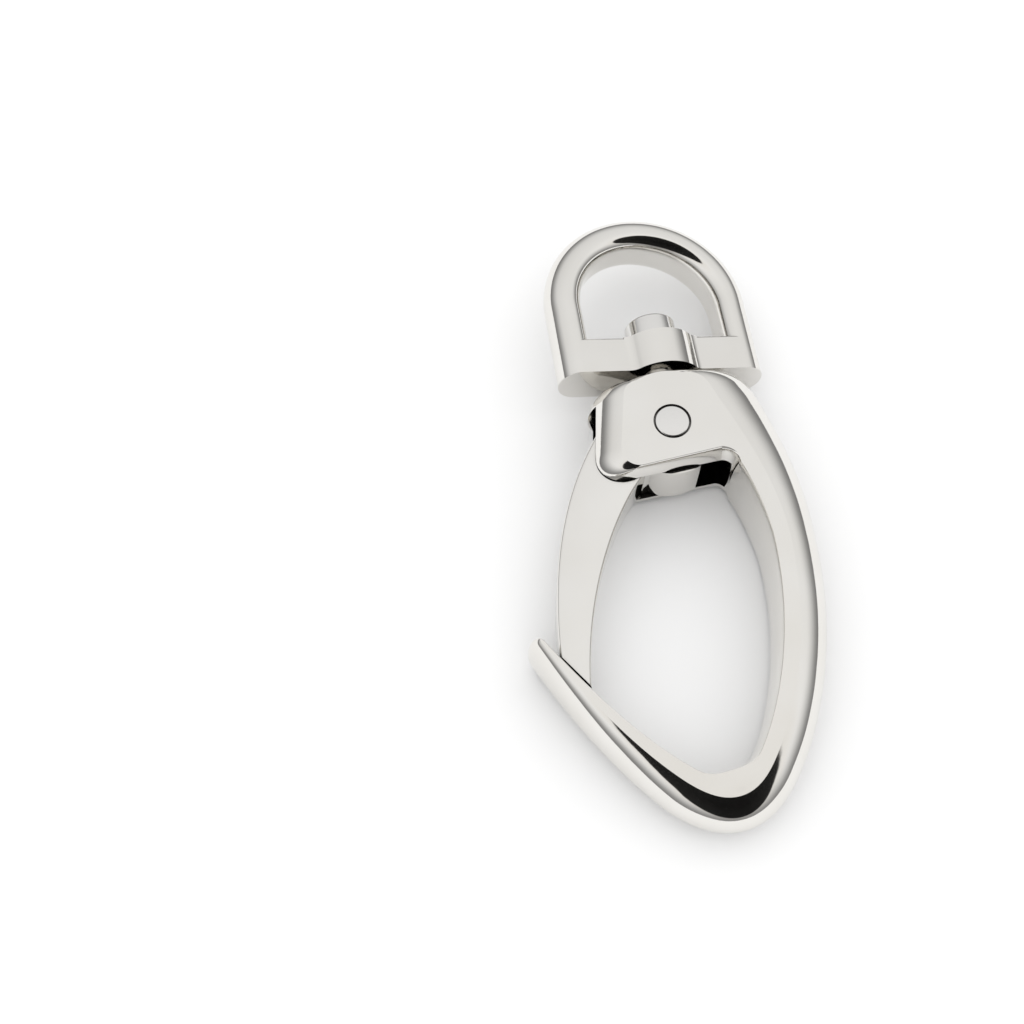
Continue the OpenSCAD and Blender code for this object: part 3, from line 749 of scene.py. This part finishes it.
class SNAPHOOK_OT_studio(Operator):
    """Set the camera, the white floor and the light tent with its dark opening."""

    bl_idname = "snaphook.studio"
    bl_label = "Build studio"

    def execute(self, context):
        look, scene = context.scene.snaphook_look, context.scene
        self.camera(scene, look)
        self.floor(scene, look)
        self.tent(scene, look)
        scene.view_settings.view_transform = "Standard"
        return {"FINISHED"}

    def camera(self, scene, look):
        """The photograph's view, down on the hook from its bow end."""
        ahead, side = Vector((0.0670, 0.4647, -0.8829)).normalized(), Vector((0.9898, -0.1426, 0))
        side = (side - ahead * side.dot(ahead)).normalized()
        data = bpy.data.cameras.new("camera")
        data.lens, data.sensor_width, data.clip_start = look.lens, 36, 0.001
        cam = bpy.data.objects.new("camera", data)
        scene.collection.objects.link(cam)
        turn = Matrix((side, side.cross(ahead), -ahead)).transposed().to_4x4()
        cam.matrix_world = Matrix.Translation(Vector((-23.8, -65.6, 112.8)) * MM) @ turn
        scene.camera = cam

    def floor(self, scene, look):
        """White paper, a hair under the hook so that the two faces don't coincide."""
        bm = bmesh.new()
        bmesh.ops.create_grid(bm, x_segments=2, y_segments=2, size=1.2)
        mesh = bpy.data.meshes.new("floor")
        bm.to_mesh(mesh)
        bm.free()
        floor = bpy.data.objects.new("floor", mesh)
        floor.location.z = -0.00002
        scene.collection.objects.link(floor)
        paper = bpy.data.materials.new("white_paper")
        paper.use_nodes = True
        skin = paper.node_tree.nodes["Principled BSDF"]
        skin.inputs["Base Color"].default_value = (look.floor_level, look.floor_level, look.floor_level, 1)
        skin.inputs["Roughness"].default_value = 0.9
        skin.inputs["Specular IOR Level"].default_value = 0
        mesh.materials.append(paper)

    def tent(self, scene, look):
        """An even white light; the metal sees its walls darken downwards and a dark opening overhead."""
        world = bpy.data.worlds.new("tent")
        world.use_nodes = True
        scene.world = world
        tree = world.node_tree
        tree.nodes.clear()
        join = tree.links.new
        out, light, ray = node(tree, "OutputWorld"), node(tree, "Background"), node(tree, "LightPath")
        around, height = node(tree, "TexCoord"), node(tree, "SeparateXYZ")
        wall = node(tree, "MapRange", {"interpolation_type": "SMOOTHSTEP"},
                    From_Min=0.02, From_Max=0.62, To_Min=0.3, To_Max=1.0)
        join(around.outputs["Generated"], height.inputs[0])
        join(height.outputs["Z"], wall.inputs["Value"])
        towards, opening = node(tree, "VectorMath", {"operation": "DOT_PRODUCT"}), node(tree, "ValToRGB")
        towards.inputs[1].default_value = Vector((0.12, -0.62, 0.78)).normalized()
        first, second = opening.color_ramp.elements
        first.position, first.color = 0.0, (0.82, 0.82, 0.82, 1)
        second.position, second.color = 0.62, (0.98, 0.98, 0.98, 1)
        for at, level in ((0.742, 0.95), (0.762, 0.02), (0.97, 0.006)):
            opening.color_ramp.elements.new(at).color = (level, level * 0.985, level * 0.96, 1)
        join(around.outputs["Generated"], towards.inputs[0])
        join(towards.outputs["Value"], opening.inputs["Fac"])
        seen = node(tree, "VectorMath", {"operation": "SCALE"})
        join(opening.outputs["Color"], seen.inputs[0])
        join(wall.outputs["Result"], seen.inputs["Scale"])
        choice = node(tree, "Mix", {"data_type": "RGBA"}, A=(look.tent, look.tent, look.tent, 1))
        join(ray.outputs["Is Glossy Ray"], choice.inputs["Factor"])
        join(seen.outputs["Vector"], choice.inputs["B"])
        join(choice.outputs["Result"], light.inputs["Color"])
        join(light.outputs["Background"], out.inputs["Surface"])


class SNAPHOOK_PT_panel(Panel):
    """The hook's sizes and its build steps."""

    bl_idname = "SNAPHOOK_PT_panel"
    bl_label = "Snap Hook"
    bl_space_type = "VIEW_3D"
    bl_region_type = "UI"
    bl_category = "Snap Hook"

    def draw(self, context):
        for attribute, cls in GROUPS.items():
            box = self.layout.box()
            for name in cls.__annotations__:
                box.prop(getattr(context.scene, attribute), name)
        for step in STEPS:
            self.layout.operator(step.bl_idname)


GROUPS = {
    "snaphook_casting": SNAPHOOK_PG_casting,
    "snaphook_fittings": SNAPHOOK_PG_fittings,
    "snaphook_look": SNAPHOOK_PG_look,
}
STEPS = (
    SNAPHOOK_OT_casting,
    SNAPHOOK_OT_gate,
    SNAPHOOK_OT_rivet,
    SNAPHOOK_OT_spring,
    SNAPHOOK_OT_post,
    SNAPHOOK_OT_eye,
    SNAPHOOK_OT_studio,
)


def register():
    for cls in (*GROUPS.values(), *STEPS, SNAPHOOK_PT_panel):
        bpy.utils.register_class(cls)
    for name, cls in GROUPS.items():
        setattr(bpy.types.Scene, name, PointerProperty(type=cls))


def unregister():
    for name in GROUPS:
        delattr(bpy.types.Scene, name)
    for cls in reversed((*GROUPS.values(), *STEPS, SNAPHOOK_PT_panel)):
        bpy.utils.unregister_class(cls)


def main():
    register()
    bpy.ops.snaphook.casting()
    bpy.ops.snaphook.gate()
    bpy.ops.snaphook.rivet()
    bpy.ops.snaphook.spring()
    bpy.ops.snaphook.post()
    bpy.ops.snaphook.eye()
    bpy.ops.snaphook.studio()


if __name__ == "__main__":
    main()
